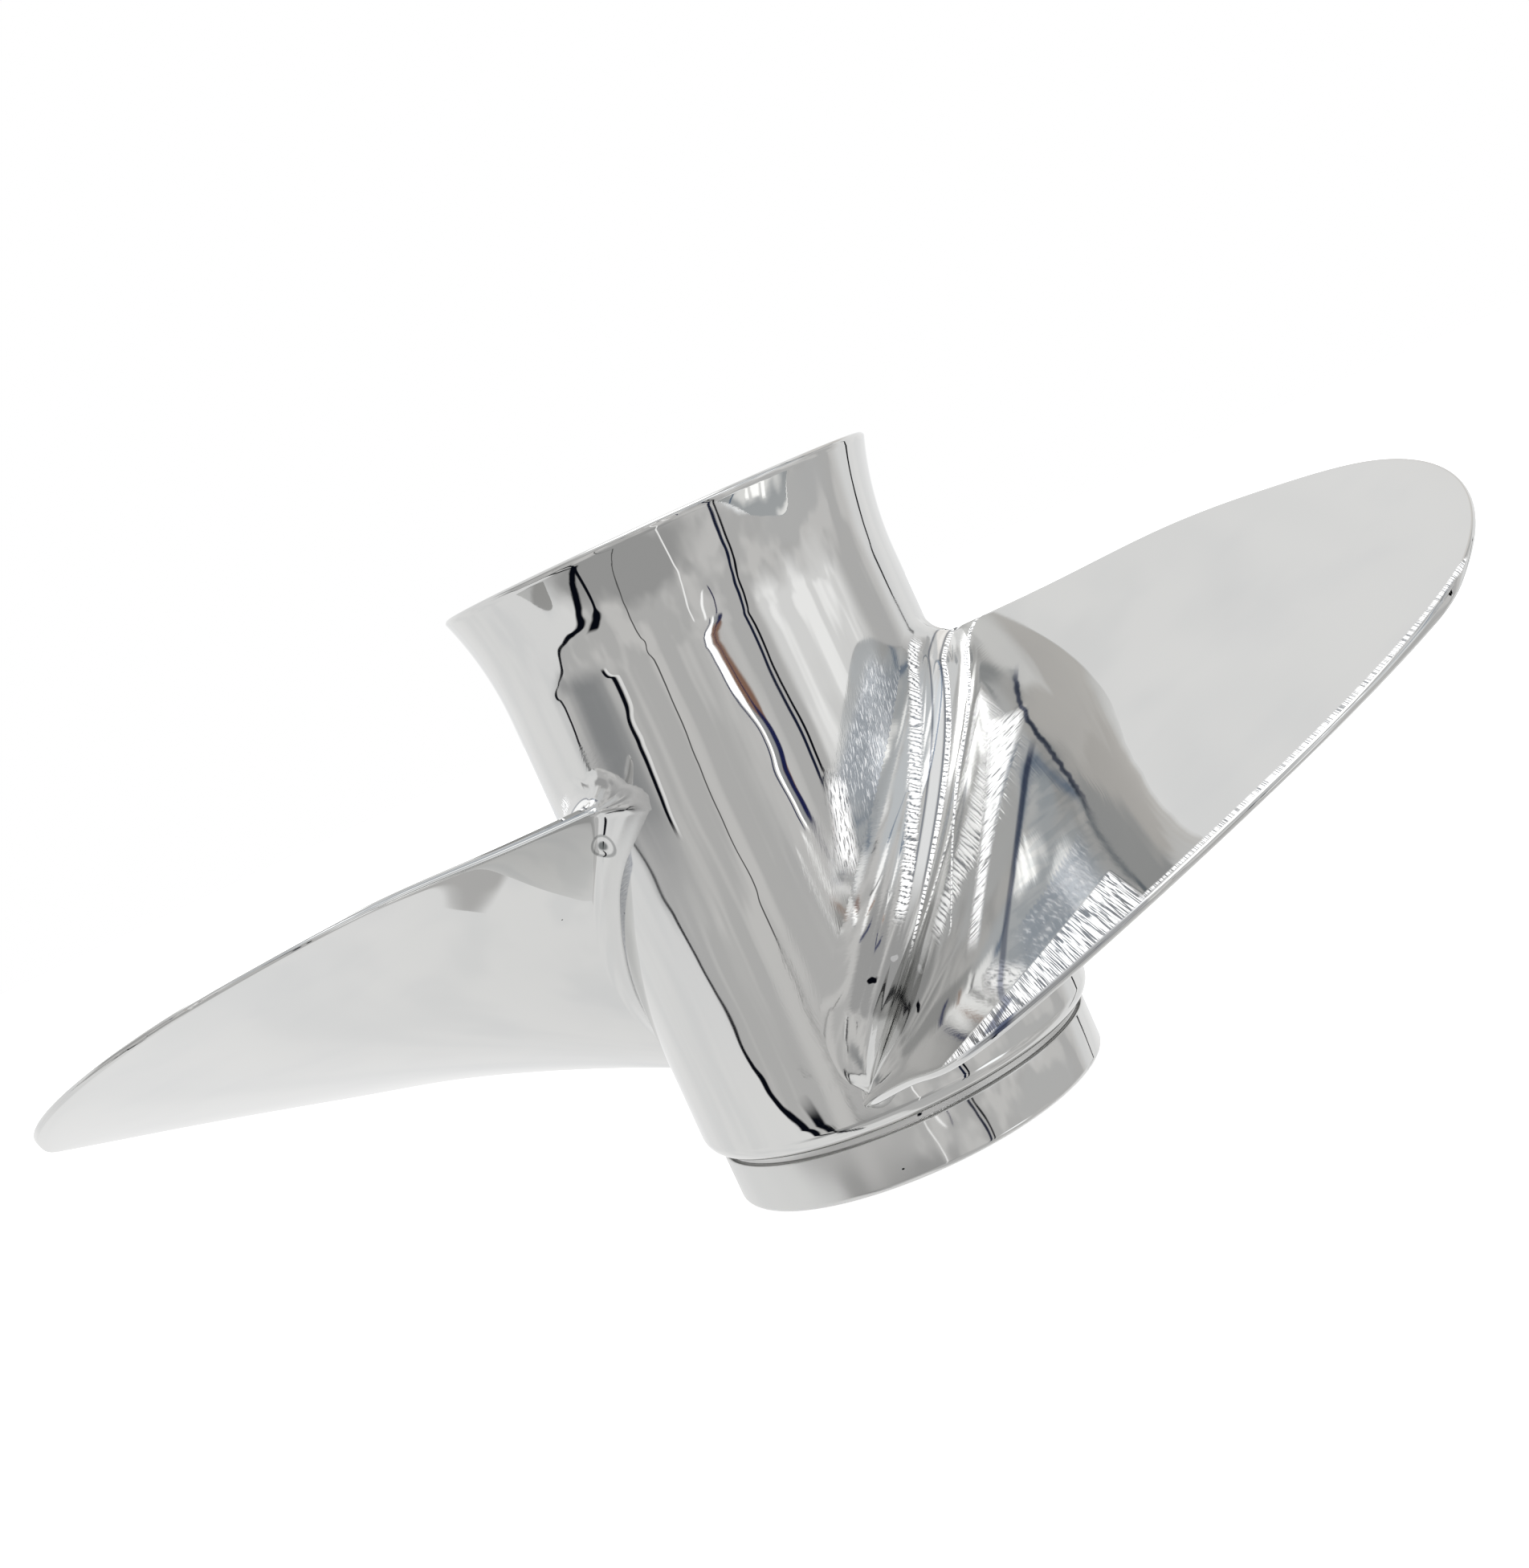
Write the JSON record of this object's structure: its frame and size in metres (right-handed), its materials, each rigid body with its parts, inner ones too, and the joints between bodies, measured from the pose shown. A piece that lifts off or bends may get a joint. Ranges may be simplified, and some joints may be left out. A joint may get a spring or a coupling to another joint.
{
  "type": "outboard boat propeller",
  "caption": "Polished stainless outboard boat propeller with broad raked blades on a flared exhaust hub, a stepped front collar and a rubber-mounted splined drive sleeve.",
  "frame": {"origin": "centre of the hub's axis in the plane of the front collar's end face", "axes": "+Z along the hub's axis from the front collar towards the flared rear rim; -Y towards the viewer of the picture, between two blades; +X to the viewer's right"},
  "size_m": [0.3603, 0.3743, 0.1718],
  "materials": {
    "polished_steel": "mirror polished stainless steel with hand grinding marks",
    "cast_steel": "blasted stainless casting",
    "rubber": "matt",
    "bronze": "machined"
  },
  "bodies": {
    "root": {"hub_barrel": "polished_steel", "front_collar": "polished_steel", "blade_1": "polished_steel", "blade_2": "polished_steel", "blade_3": "polished_steel", "inner_hub": "cast_steel", "web_1": "cast_steel", "web_2": "cast_steel", "web_3": "cast_steel", "rubber_bushing": "rubber", "splined_sleeve": "bronze"}
  },
  "joints": []
}
